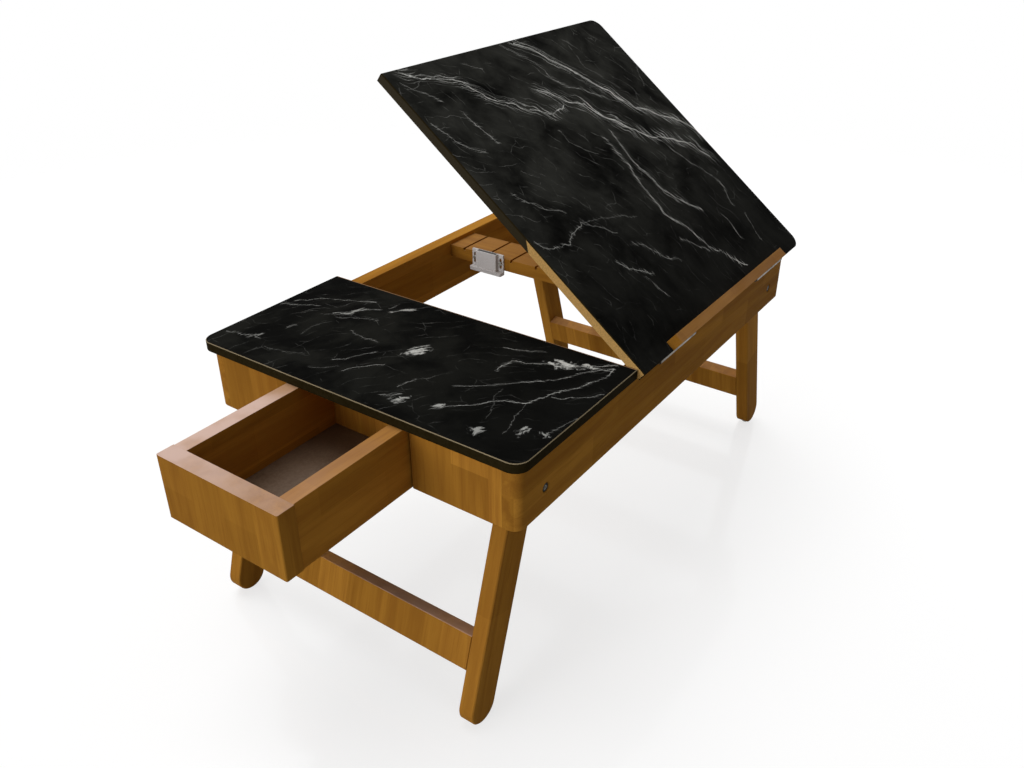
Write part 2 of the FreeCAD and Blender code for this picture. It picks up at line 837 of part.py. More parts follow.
def drawer_front():
    """The drawer's front board, a little wider than the box behind it, with eased upright corners."""
    inner_x = drawer_front_x + drawer_front_thickness
    board = box(drawer_front_x, inner_x, drawer_left_y, drawer_right_y, drawer_low_z, drawer_high_z)
    board = rounded(board, drawer_corner_round, Z_AXIS, lambda point: point.x < inner_x - drawer_corner_round)
    return board.cut(drawer_rabbet())


def drawer_side():
    """The drawer's side board, drawn on the front side."""
    start_x = drawer_front_x + drawer_front_thickness
    low_y = drawer_side_left_y
    high_y = drawer_inner_left_y
    board = box(start_x, drawer_back_x, low_y, high_y, drawer_low_z, drawer_high_z)
    return board.cut(drawer_rabbet())


def drawer_back():
    """The drawer's back board, between the sides."""
    start_x = drawer_back_x - drawer_back_thickness
    low_y = drawer_inner_left_y
    high_y = drawer_inner_right_y
    return box(start_x, drawer_back_x, low_y, high_y, drawer_low_z, drawer_high_z).cut(drawer_rabbet())


def drawer_stop_block():
    """The block under the drawer's rear that meets the stop rail."""
    end_x = stop_block_x + stop_block_length
    low_y = table_mid_y - stop_block_width / 2
    high_y = table_mid_y + stop_block_width / 2
    return box(stop_block_x, end_x, low_y, high_y, runner_low_z + stop_block_clearance, drawer_low_z)


# ---------------------------------------------------------------- leg frames

def swung(shape, pivot_x, direction):
    """Move a piece from a frame that hangs straight down to its opened place.

    direction is -1 where the feet go towards the drawer end, +1 towards the far end.
    """
    shape = shape.rotated(Vector(), Y_AXIS, -direction * splay_angle)
    return shape.translated(Vector(pivot_x, 0, pivot_z))


def hanging_leg():
    """A front leg below a pivot at the origin: round at both ends, with the bolt's bore."""
    half = leg_width / 2
    start = Vector(-half, leg_outer_y, 0)
    outline = Part.Wire([
        Part.makeLine(start, start - Z_AXIS * foot_reach),
        Part.Arc(
            Vector(-half, leg_outer_y, -foot_reach),
            Vector(0, leg_outer_y, -leg_length),
            Vector(half, leg_outer_y, -foot_reach),
        ).toShape(),
        Part.makeLine(Vector(half, leg_outer_y, -foot_reach), Vector(half, leg_outer_y, 0)),
        Part.Arc(Vector(half, leg_outer_y, 0), Vector(0, leg_outer_y, half), start).toShape(),
    ])
    leg = Part.Face(outline).extrude(Vector(0, leg_thickness, 0))
    leg = leg.makeChamfer(leg_eased_edge, [edge for edge in leg.Edges if not runs_along(edge, Y_AXIS)])
    bore_radius = bolt_radius + pivot_running_clearance
    return leg.cut(rod(bore_radius, Vector(0, leg_outer_y, 0), Vector(0, leg_inner_y, 0)))


def foot_centre(pivot_x, direction):
    """The middle of a front foot's round end, in the opened frame."""
    mid_y = (leg_outer_y + leg_inner_y) / 2
    x = pivot_x + direction * foot_reach * math.sin(splay)
    return Vector(x, mid_y, pivot_z - foot_reach * math.cos(splay))


def glide(pivot_x, direction):
    """A nail-on glide under a front foot: a domed button on a nail."""
    profile = [
        (0, glide_crown_radius),
        (glide_height - glide_rim_height, glide_radius),
        (glide_height + glide_seat_depth, glide_radius),
        (glide_height + glide_seat_depth, glide_nail_radius),
        (glide_height + glide_nail_length, glide_nail_radius),
    ]
    return turned(profile, glide_base(pivot_x, direction), Z_AXIS)


def glide_base(pivot_x, direction):
    """The point on the floor under a front foot."""
    centre = foot_centre(pivot_x, direction)
    return Vector(centre.x, centre.y, 0)


def glide_seat(pivot_x, direction):
    """The flat seat and nail hole for a glide in a front foot."""
    gap = screw_hole_clearance
    profile = [
        (0, glide_radius + gap),
        (glide_height + glide_seat_depth, glide_radius + gap),
        (glide_height + glide_seat_depth, glide_nail_radius + gap),
        (glide_height + glide_nail_length + gap, glide_nail_radius + gap),
    ]
    return turned(profile, glide_base(pivot_x, direction), Z_AXIS)


def leg(pivot_x, direction):
    """The front leg of a frame, with its glide's seat."""
    return swung(hanging_leg(), pivot_x, direction).cut(glide_seat(pivot_x, direction))


def stretcher(pivot_x, direction):
    """The cross board between a frame's legs, level with their faces towards the drawer end."""
    low_z = stretcher_above_foot - leg_length
    board = box(
        -leg_width / 2,
        -leg_width / 2 + stretcher_thickness,
        leg_inner_y,
        top_width - leg_inner_y,
        low_z,
        low_z + stretcher_height,
    )
    return swung(rounded(board, eased_edge, Y_AXIS, every), pivot_x, direction)


# ---------------------------------------------------------------- the stand

def table_parts():
    """The pieces that stay with the apron."""
    mirrored_opening_y = top_width - rail_inner_y
    core, band, laminate = top_pieces(0, fixed_top_length, apron_top, 0)
    bolts = [pivot_bolt(x) for x in pivot_axis_points()]
    washers = [piece for x in pivot_axis_points() for piece in pivot_washers(x)]
    nuts = [pivot_nut(x) for x in pivot_axis_points()]
    leaf_screws = [
        screw
        for x_mid in hinge_mid_x
        for screw in hinge_screws(x_mid, wood_screw, rail_leaf_face_z, -Z_AXIS)
    ]
    return {
        "front_rail": rail(with_hinges=True),
        "back_rail": across(rail(with_hinges=False)),
        "end_board_drawer_front": end_board(rail_start_x, end_inner_x, rail_inner_y, bay_left_y),
        "end_board_drawer_back": end_board(rail_start_x, end_inner_x, bay_right_y, mirrored_opening_y),
        "end_board_far": end_board(far_inner_x, rail_end_x, rail_inner_y, mirrored_opening_y),
        "fixed_top_core": core,
        "fixed_top_edge_band": band,
        "fixed_top_laminate": laminate,
        "drawer_guide_front": drawer_guide(),
        "drawer_guide_back": across(drawer_guide()),
        "drawer_runner_front": drawer_runner(),
        "drawer_runner_back": across(drawer_runner()),
        "drawer_stop_rail": drawer_stop_rail(),
        "bay_rail": bay_rail(),
        "grooved_bar": grooved_bar(),
        "hinge_rail_leaves": joined([rail_leaf(x_mid) for x_mid in hinge_mid_x]),
        "hinge_pins": joined([hinge_pin(x_mid) for x_mid in hinge_mid_x]),
        "hinge_rail_screws": joined(leaf_screws),
        "catch_body": catch_body(),
        "catch_magnet": catch_magnet(),
        "catch_screws": catch_screws(),
        "pivot_bolts": joined(bolts + [across(bolt) for bolt in bolts]),
        "pivot_washers": joined(washers + [across(piece) for piece in washers]),
        "pivot_nuts": joined(nuts + [across(nut) for nut in nuts]),
    }


def panel_parts():
    """The pieces that tilt with the laptop panel."""
    core, band, laminate = top_pieces(panel_start_x, top_length, panel_low_z, top_length)
    leaf_screws = [
        screw
        for x_mid in hinge_mid_x
        for screw in hinge_screws(x_mid, wood_screw, panel_leaf_face_z, Z_AXIS)
    ]
    clip_screws = [wood_screw(place, Z_AXIS) for place in clip_screw_places()]
    return {
        "panel_core": tilted(drilled_panel_core(core)),
        "panel_edge_band": tilted(band),
        "panel_laminate": tilted(laminate),
        "book_lip": book_lip(),
        "hinge_panel_leaves": joined([tilted(panel_leaf(x_mid)) for x_mid in hinge_mid_x]),
        "hinge_panel_screws": joined([tilted(screw) for screw in leaf_screws]),
        "strike_plate": tilted(strike_plate()),
        "bail_clips": joined([saddle_clip(x) for x in clip_mid_x()]),
        "bail_clip_screws": joined([tilted(screw) for screw in clip_screws]),
    }


def drawer_parts():
    """The pieces that slide with the drawer."""
    return {
        "drawer_front": drawer_front(),
        "drawer_side_front": drawer_side(),
        "drawer_side_back": across(drawer_side()),
        "drawer_back": drawer_back(),
        "drawer_bottom": drawer_bottom(),
        "drawer_stop_block": drawer_stop_block(),
    }


def leg_frame_parts(name, pivot_x, direction):
    """The pieces of one leg frame."""
    front_leg = leg(pivot_x, direction)
    front_glide = glide(pivot_x, direction)
    return {
        name + "_leg_front": front_leg,
        name + "_leg_back": across(front_leg),
        name + "_stretcher": stretcher(pivot_x, direction),
        name + "_glides": joined([front_glide, across(front_glide)]),
    }


def stand_parts():
    """Every node of the stand, by name, in table axes."""
    parts = {}
    parts.update(table_parts())
    parts.update(panel_parts())
    parts["prop_bail"] = prop_bail()
    parts.update(drawer_parts())
    parts.update(leg_frame_parts("drawer_end", drawer_pivot_x, -1))
    parts.update(leg_frame_parts("far_end", far_pivot_x, 1))
    return parts


def outline_middle(parts):
    """The middle of the box round the whole stand, on the floor."""
    outline = Part.makeCompound(list(parts.values())).optimalBoundingBox()
    return Vector(outline.Center.x, outline.Center.y, outline.ZMin)


all_parts = stand_parts()
origin = outline_middle(all_parts)
os.makedirs("parts", exist_ok=True)
for node, shape in all_parts.items():
    shape.translated(-origin).exportStep("parts/" + node + ".step")
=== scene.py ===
"""Materials, floor, light and camera for the folding laptop stand with a drawer.

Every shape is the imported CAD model's own. This script gives each node a procedural material,
in metres and in the model's frame: +X runs from the drawer end to the far end, +Y from the
hinge side to the back, and +Z is up.
"""

import math

import bpy
from mathutils import Euler, Matrix, Vector


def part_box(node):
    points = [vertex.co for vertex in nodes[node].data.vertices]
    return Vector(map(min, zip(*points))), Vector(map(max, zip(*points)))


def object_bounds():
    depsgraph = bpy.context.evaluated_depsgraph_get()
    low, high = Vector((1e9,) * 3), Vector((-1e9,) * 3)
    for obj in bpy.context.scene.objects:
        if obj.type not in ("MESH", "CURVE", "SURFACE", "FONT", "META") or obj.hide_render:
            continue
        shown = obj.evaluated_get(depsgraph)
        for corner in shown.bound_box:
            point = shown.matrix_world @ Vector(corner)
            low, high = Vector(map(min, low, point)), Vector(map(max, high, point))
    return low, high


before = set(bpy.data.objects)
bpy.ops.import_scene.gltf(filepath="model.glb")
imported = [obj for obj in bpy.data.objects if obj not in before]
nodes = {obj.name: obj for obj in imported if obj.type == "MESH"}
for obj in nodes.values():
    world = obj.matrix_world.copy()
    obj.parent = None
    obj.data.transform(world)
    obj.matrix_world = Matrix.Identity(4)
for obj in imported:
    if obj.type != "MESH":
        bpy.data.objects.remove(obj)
cad_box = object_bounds()

# ---------------------------------------------------------------- sizes and angles

MM = 0.001
QUARTER = math.pi / 2
SPLAY = math.radians(17.4)
PANEL_TILT = math.radians(37.8)

# The photograph's camera, fitted to the stand's edges: its place is in metres, its lens in mm
CAMERA_PLACE = Vector((-0.6758, -0.4785, 0.6508))
CAMERA_HEADING = math.radians(35.31)
CAMERA_DIP = math.radians(29.98)
CAMERA_ROLL = math.radians(-0.26)
CAMERA_LENS = 32.29
CAMERA_SHIFT = (0.0037, -0.0004)

# Colours, 0 to 255, as they look on a screen
WOOD_LIGHT = (186, 131, 50)
WOOD_DEEP = (160, 108, 40)
WOOD_STREAK = (134, 84, 32)
WORN_WOOD = (196, 150, 74)
# A pale pink painted sheen, a highlight on the wood's top faces
SHEEN_WOOD = (234, 204, 192)
BASE_BOARD = (100, 78, 58)
RAW_CORE = (210, 166, 98)
BAND_BROWN = (40, 33, 17)
EDGE_STAIN = (44, 36, 16)
BEVEL_CREAM = (138, 124, 98)
SPLIT_BROWN = (150, 116, 84)
MARBLE_BLACK = (13, 13, 12)
SHELF_CLOUD = (33, 33, 30)
# The panel's clouds are paler than the shelf's: painted light on the tilted panel
PANEL_LIT_CLOUD = (62, 62, 58)
VEIN_WHITE = (238, 238, 232)
HINGE_STEEL = (122, 118, 110)
SCREW_STEEL = (170, 168, 160)
BOLT_STEEL = (96, 94, 90)
# The bolt heads' near black is painted shade for the gap round each head
BOLT_RING_SHADE = (26, 25, 23)
SOCKET_GREY = (190, 186, 176)
CATCH_GREY = (196, 192, 191)
MAGNET_GREY = (74, 72, 70)
GLIDE_CLEAR = (196, 190, 176)


def screen(colour):
    """A screen colour, 0 to 255, as the linear colour that a shader takes."""
    linear = []
    for value in colour:
        share = value / 255
        linear.append(share / 12.92 if share <= 0.04045 else ((share + 0.055) / 1.055) ** 2.4)
    return (*linear, 1.0)


# ---------------------------------------------------------------- node graphs

BEVEL_SAMPLES = 4
# How squarely a rounded normal and the true one agree on a flat face and on a sharp edge
FLAT_AGREEMENT = 0.995
EDGE_AGREEMENT = 0.80


class Graph:
    """A material's node tree, with short calls that add a node and link what feeds it."""

    def __init__(self, name, owner=None, output="ShaderNodeOutputMaterial"):
        self.material = owner or bpy.data.materials.new(name)
        self.material.use_nodes = True
        self.tree = self.material.node_tree
        self.tree.nodes.clear()
        self.output = self.tree.nodes.new(output)

    def feed(self, socket, value):
        """Link an output to a socket, or set the socket to a plain value."""
        if isinstance(value, bpy.types.NodeSocket):
            self.tree.links.new(value, socket)
        else:
            socket.default_value = value

    def add(self, kind, inputs=(), **settings):
        """A new node with its settings and its inputs, which are given by name or number."""
        node = self.tree.nodes.new(kind)
        for key, value in settings.items():
            setattr(node, key, value)
        for key, value in dict(inputs).items():
            self.feed(node.inputs[key], value)
        return node

    def place(self, turn=(0, 0, 0), scale=(1, 1, 1), origin=(0, 0, 0)):
        """The object's own coordinates, moved to origin, turned and then stretched."""
        coordinates = self.add("ShaderNodeTexCoord").outputs["Object"]
        shifted = self.vector("SUBTRACT", coordinates, origin)
        turned = self.add("ShaderNodeMapping", {"Vector": shifted, "Rotation": turn}).outputs[0]
        return self.stretch(turned, scale)

    def stretch(self, vector, scale):
        """A vector multiplied part by part."""
        return self.vector("MULTIPLY", vector, scale)

    def vector(self, operation, first, second=(0, 0, 0)):
        """A vector operation: its number where it gives one, or else its vector."""
        node = self.add("ShaderNodeVectorMath", {0: first, 1: second}, operation=operation)
        gives_number = operation in ("DOT_PRODUCT", "LENGTH", "DISTANCE")
        return node.outputs["Value" if gives_number else "Vector"]

    def maths(self, operation, first, second=0.0, clamp=False):
        """An operation on numbers."""
        inputs = {0: first, 1: second}
        return self.add("ShaderNodeMath", inputs, operation=operation, use_clamp=clamp).outputs[0]

    def noise(self, vector, scale=1.0, detail=3.0, rough=0.5, distortion=0.0, colour=False):
        """Noise about 0.5, as one number or as a colour of three."""
        inputs = {
            "Vector": vector,
            "Scale": scale,
            "Detail": detail,
            "Roughness": rough,
            "Distortion": distortion,
        }
        node = self.add("ShaderNodeTexNoise", inputs)
        return node.outputs["Color" if colour else "Fac"]

    def span(self, value, low, high, start=0.0, end=1.0):
        """Map low..high to start..end, smoothly, and hold outside it."""
        inputs = {0: value, 1: low, 2: high, 3: start, 4: end}
        return self.add("ShaderNodeMapRange", inputs, interpolation_type="SMOOTHSTEP").outputs[0]

    def blend(self, share, first, second, kind="MIX"):
        """Mix two colours."""
        node = self.add("ShaderNodeMix", data_type="RGBA", blend_type=kind)
        low, high = [socket for socket in node.inputs if socket.type == "RGBA"]
        self.feed(node.inputs["Factor"], share)
        self.feed(low, first)
        self.feed(high, second)
        return [socket for socket in node.outputs if socket.type == "RGBA"][0]

    def edge(self, reach):
        """1 on sharp edges, 0 on flat faces, fading over reach."""
        hard = self.add("ShaderNodeNewGeometry").outputs["Normal"]
        agreement = self.vector("DOT_PRODUCT", self.rounded(reach), hard)
        return self.span(agreement, FLAT_AGREEMENT, EDGE_AGREEMENT)

    def rounded(self, reach):
        """The normal, as if edges were rounded by reach."""
        return self.add("ShaderNodeBevel", {"Radius": reach}, samples=BEVEL_SAMPLES).outputs[0]

    def facing(self, direction):
        """How squarely the surface faces a direction of the object's own frame."""
        normal = self.add("ShaderNodeTexCoord").outputs["Normal"]
        return self.vector("DOT_PRODUCT", normal, direction)

    def bump(self, height, strength, distance, reach=None):
        """A bumped normal, on edges rounded by reach."""
        inputs = {"Height": height, "Strength": strength, "Distance": distance}
        if reach:
            inputs["Normal"] = self.rounded(reach)
        return self.add("ShaderNodeBump", inputs).outputs[0]

    def finish(self, **inputs):
        """The surface: a Principled shader with its inputs, named with _ for a space."""
        shader = self.add("ShaderNodeBsdfPrincipled")
        for key, value in inputs.items():
            self.feed(shader.inputs[key.replace("_", " ")], value)
        self.tree.links.new(shader.outputs[0], self.output.inputs["Surface"])
        return self.material


# ---------------------------------------------------------------- wood

# The turns that lay a board's grain onto the x axis
GRAIN_ALONG = (-QUARTER, 0, 0)
GRAIN_UP = (0, QUARTER, 0)
GRAIN_ACROSS = (0, 0, -QUARTER)

VARNISH_IOR = 1.03
VARNISH_TINT = (1.0, 0.72, 0.40, 1.0)

# The noises' scales per metre. Those of the grain are finer across it than along it.
FIGURE_SCALE = (5, 70, 70)
FIBRE_SCALE = (22, 900, 900)
PORE_SCALE = (90, 1900, 1900)
DRIFT_SCALE = 9
SHEEN_PATCH_SCALE = 40
SCUFF_SCALE = 130
# How far apart in the noise the timber of one board is from the next seed's, in metres
TIMBER_STEP = Vector((0.37, 0.23, 0.41))

# The finger-jointed staves: sizes, and how much of the red, green and blue each kind keeps
STAVE_LENGTH = 110 * MM
STAVE_WIDTH = 36 * MM
STAVE_JOINT = 0.10 * MM
STAVE_STAGGER = 0.37
DARK_STAVE = (0.77, 0.74, 0.70)
LIGHT_STAVE = (1.09, 1.09, 1.13)
JOINT_SHADE = (0.84, 0.81, 0.75)

EDGE_WEAR_REACH = 0.7 * MM
EASED_REACH = 0.5 * MM
FIBRE_DEPTH = 0.08 * MM

# Painted sheen, a pale highlight on the top faces: the drawer's two sides, the shelf's edge, the
# share of it left beyond that edge, where the shelf's painted shade falls, and the runs in front
# of the edge over which it fades
DRAWER_SIDES_Y = [corner[1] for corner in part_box("drawer_front")]
SHELF_EDGE_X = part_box("fixed_top_laminate")[0][0]
SHADED_SHEEN_SHARE = 0.35
SHORT_FADE = 40 * MM
LONG_FADE = 130 * MM


def wood(name, grain, seed, tone=1.0, sheen=None):
    """Varnished, finger-jointed hardwood.

    grain turns the board's grain onto the x axis, and seed says which timber it is cut from.
    tone is how much lighter or darker this board is made than the rest.
    The last argument is a painted sheen, a pale highlight on the board's top: its strength at the
    drawer's hinge side and at its back side, and the run in front of the shelf over which it
    fades, as painted shade, to a share of itself under the shelf.
    """
    g = Graph(name)
    local = g.place(turn=grain, origin=seed * TIMBER_STEP)
    figure = g.noise(g.stretch(local, FIGURE_SCALE), detail=4, rough=0.55, distortion=0.8)
    fibre = g.noise(g.stretch(local, FIBRE_SCALE), detail=3, rough=0.6)
    pores = g.noise(g.stretch(local, PORE_SCALE), detail=2, rough=0.5)
    drift = g.noise(local, scale=DRIFT_SCALE, detail=2)

    colour = g.blend(g.span(figure, 0.30, 0.72), screen(WOOD_LIGHT), screen(WOOD_DEEP))
    colour = g.blend(g.span(fibre, 0.50, 0.74, 0, 0.4), colour, screen(WOOD_STREAK))
    dark_pore = g.span(pores, 0.62, 0.76, 0, 0.3)
    colour = g.blend(dark_pore, colour, screen(WOOD_STREAK))
    colour = g.blend(g.span(drift, 0.35, 0.7, 0, 0.35), colour, screen(WOOD_DEEP))
    staves = g.add(
        "ShaderNodeTexBrick",
        {
            "Vector": local,
            "Color1": toned(DARK_STAVE, tone),
            "Color2": toned(LIGHT_STAVE, tone),
            "Mortar": toned(JOINT_SHADE, tone),
            "Scale": 1.0,
            "Mortar Size": STAVE_JOINT,
            "Mortar Smooth": 0.4,
            "Brick Width": STAVE_LENGTH,
            "Row Height": STAVE_WIDTH,
        },
        offset=STAVE_STAGGER,
    )
    colour = g.blend(1.0, colour, staves.outputs["Color"], "MULTIPLY")
    # Painted sheen: a patchy pale highlight on the top faces, fading to painted shade under the
    # shelf
    if sheen:
        along = g.vector("DOT_PRODUCT", g.place(), (1, 0, 0))
        across = g.vector("DOT_PRODUCT", g.place(), (0, 1, 0))
        hinge_side, back_side, run = sheen
        amount = g.span(across, *DRAWER_SIDES_Y, hinge_side, back_side)
        under_shelf_shade = g.span(along, SHELF_EDGE_X - run, SHELF_EDGE_X, 1.0, SHADED_SHEEN_SHARE)
        amount = g.maths("MULTIPLY", amount, under_shelf_shade)
        top = g.maths("MULTIPLY", g.span(g.facing((0, 0, 1)), 0.70, 0.78), amount)
        patchy = g.span(g.noise(local, scale=SHEEN_PATCH_SCALE, detail=3), 0.25, 0.60, 0.7, 1.0)
        colour = g.blend(g.maths("MULTIPLY", top, patchy), colour, screen(SHEEN_WOOD))
    scuffs = g.noise(local, scale=SCUFF_SCALE, detail=3)
    worn = g.maths("MULTIPLY", g.edge(EDGE_WEAR_REACH), g.span(scuffs, 0.4, 0.65, 0.05, 0.4))
    colour = g.blend(worn, colour, screen(WORN_WOOD))
    height = g.maths("SUBTRACT", fibre, g.maths("MULTIPLY", dark_pore, 1.5))
    return g.finish(
        Base_Color=colour,
        Roughness=g.span(fibre, 0.3, 0.75, 0.36, 0.52),
        Normal=g.bump(height, 0.25, FIBRE_DEPTH, EASED_REACH),
        IOR=VARNISH_IOR,
        Specular_Tint=VARNISH_TINT,
    )


def toned(shares, tone):
    """Shares of red, green and blue, all multiplied by tone, as a colour."""
    return (*[share * tone for share in shares], 1)


def turned_grain(direction):
    """The turn for a piece of a leg frame, whose grain runs down the splayed leg."""
    return (0, QUARTER + direction * SPLAY, 0)


# ---------------------------------------------------------------- marble laminate

# The axis of the hinges, which the panel tilts about
HINGE_LINE = Vector((0, -169.65, 255.0)) * MM

LAMINATE_GLOSS = 0.38
LAMINATE_IOR = 1.02
LAMINATE_GRAIN_DEPTH = 0.05 * MM

# The rest of the marble's sizes are millimetres on the face, and its scales are per millimetre.
# The pale line along the split edge, and how far apart in the noise two faces' seeds are
SPLIT_LINE = 1.6
SPLIT_LINE_FADE = 0.2
SEED_STEP = Vector((311, 173, 0))

# The bends that every vein follows: a slow wander and a fine jitter
WANDER_SCALE = 0.022
WANDER_REACH = 26
JITTER_SCALE = 0.10
JITTER_REACH = 5.5

# The noises that veins come and go by, and that cloud the ground
PATCH_SCALE = 0.045
MOTTLE_SCALE = 0.018
GRAIN_SCALE = 0.35
STREAK_SIZE = (50, 12)

# A stream's brightest thread is this wide each way, times CORE_LEAST plus its brightness
CORE_HALF_WIDTH = 0.44
CORE_LEAST = 0.4
# A stream's strands fade out at this many times its spread
STREAM_REACH = 1.3

# The fine threads: how far apart they are, how far they sway, how wide they are each way, the
# noise above which they show, and where in the flow their pattern is taken from
STRANDS = {"period": 7.0, "sway": 9.0, "half_width": 0.50, "sparse": 0.48, "shift": (0, 0, 0)}
WISPS = {"period": 3.3, "sway": 7.0, "half_width": 0.36, "sparse": 0.49, "shift": (500, 900, 0)}
FAINT = {"period": 15.0, "sway": 10.0, "half_width": 0.50, "sparse": 0.53, "shift": (900, 500, 0)}
# How bright the wisps are beside the strands
WISPS_SHARE = 0.75
# The sizes of the noises that threads sway by, and come and go by: along and across the flow
SWAY_SIZE = (55, 26)
SHOWN_LENGTH = 38
SHOWN_PERIODS = 1 / 0.7

# The crazing: its cells, its cracks' width as a share of a cell, and how bright it is beside
# the faint threads
CRAZING_CELL = (21, 34)
CRAZING_WIDTH = 0.018
CRAZING_SHARE = 0.7

# A knot is made of flakes, and fades out at this many times its reach
FLAKE_SIZE = (9, 4.5)
KNOT_REACH = 1.4

# The radius at which a millimetre along the flow is a millimetre on the face
FLOW_RADIUS = 300.0

# The place on each face that its veins flow round
PANEL_FLOW_CENTRE = (-71, 46)
SHELF_FLOW_CENTRE = (-94, -54)

# Each stream of veins: its brightness, how far its strands spread, and the places that its
# brightest thread passes
PANEL_STREAMS = [
    (1.05, 8, ((20, 355), (40, 340), (75, 330), (95, 300), (125, 285), (165, 260), (195, 265))),
    (0.50, 3, ((15, 340), (40, 305))),
    (0.55, 3, ((5, 290), (25, 260), (40, 250))),
    (0.55, 3, ((55, 290), (55, 275), (65, 250))),
    (0.50, 4, ((175, 360), (195, 340), (230, 280), (285, 245))),
    (1.30, 10, ((205, 355), (250, 305), (300, 235), (370, 185), (375, 170))),
    (1.30, 11, ((175, 290), (225, 255), (260, 210), (345, 165), (355, 135))),
    (0.45, 3, ((295, 190), (315, 135), (330, 100), (320, 75))),
    (0.85, 4, ((230, 215), (220, 175), (230, 140), (255, 90))),
    (0.85, 4, ((210, 215), (205, 155), (200, 110), (230, 45), (250, 15))),
    (0.45, 2, ((285, 75), (285, 45))),
    (0.40, 2, ((325, 60), (315, 30))),
    (0.50, 3, ((185, 75), (220, 50))),
    (0.25, 2, ((285, 330), (280, 300), (305, 260))),
    (0.25, 2, ((370, 275), (355, 250))),
    (0.30, 2, ((155, 240), (155, 225), (185, 200))),
    (0.35, 2, ((110, 345), (125, 330))),
    (0.40, 3, ((25, 200), (45, 175), (65, 160))),
    (0.40, 2, ((75, 150), (100, 130), (110, 120))),
    (0.25, 2, ((75, 150), (160, 120))),
    (0.50, 2, ((75, 150), (55, 140), (45, 130), (10, 140), (5, 150))),
    (0.45, 3, ((120, 105), (160, 60))),
    (0.60, 3, ((80, 95), (90, 80), (115, 70))),
    (0.35, 3, ((100, 70), (105, 40))),
    (0.25, 2, ((60, 215), (75, 205))),
]
SHELF_STREAMS = [
    (0.45, 2, ((110, 345), (125, 320), (145, 285), (150, 275))),
    (0.36, 2, ((100, 350), (105, 330), (110, 315))),
    (0.60, 3, ((110, 290), (125, 280), (140, 260))),
    (0.22, 2, ((100, 300), (115, 275), (120, 245))),
    (0.55, 3, ((140, 250), (155, 235))),
    (0.30, 2, ((150, 255), (160, 250))),
    (0.34, 2, ((95, 255), (90, 235), (90, 220))),
    (0.48, 2, ((45, 230), (50, 220), (75, 210))),
    (0.50, 2, ((30, 205), (40, 200), (60, 185))),
    (0.22, 2, ((20, 235), (35, 215))),
    (0.42, 2, ((25, 350), (30, 325), (35, 320), (35, 310))),
    (0.18, 2, ((25, 295), (30, 270), (35, 260))),
    (0.28, 2, ((60, 310), (70, 305))),
    (0.24, 2, ((65, 290), (85, 285))),
    (0.36, 2, ((20, 150), (30, 140))),
    (0.38, 2, ((35, 150), (55, 145))),
    (0.54, 2, ((25, 105), (80, 50), (125, 25), (165, 15))),
    (0.38, 2, ((100, 35), (105, 20), (120, 5))),
    (0.50, 2, ((65, 115), (100, 70), (130, 45), (160, 25), (165, 15))),
    (0.62, 3, ((110, 100), (130, 95), (150, 60), (170, 15))),
    (0.44, 2, ((145, 115), (160, 85))),
    (0.18, 1, ((80, 50), (55, 45), (30, 40))),
    (0.15, 1, ((85, 75), (60, 65), (40, 60))),
    (0.28, 2, ((90, 0), (60, 5), (45, 10))),
]
# White knots on the shelf: place, reach along and across the flow, and brightness
SHELF_KNOTS = [
    ((155, 50), (28, 7), 0.68),
    ((95, 180), (11, 9), 0.68),
    ((25, 135), (11, 6), 0.48),
    ((30, 105), (9, 4), 0.48),
    ((150, 240), (12, 4), 0.48),
    ((125, 280), (9, 4), 0.40),
    ((35, 320), (7, 3), 0.36),
    ((25, 55), (11, 7), 0.40),
    ((40, 30), (11, 6), 0.44),
    ((45, 10), (12, 5), 0.36),
]


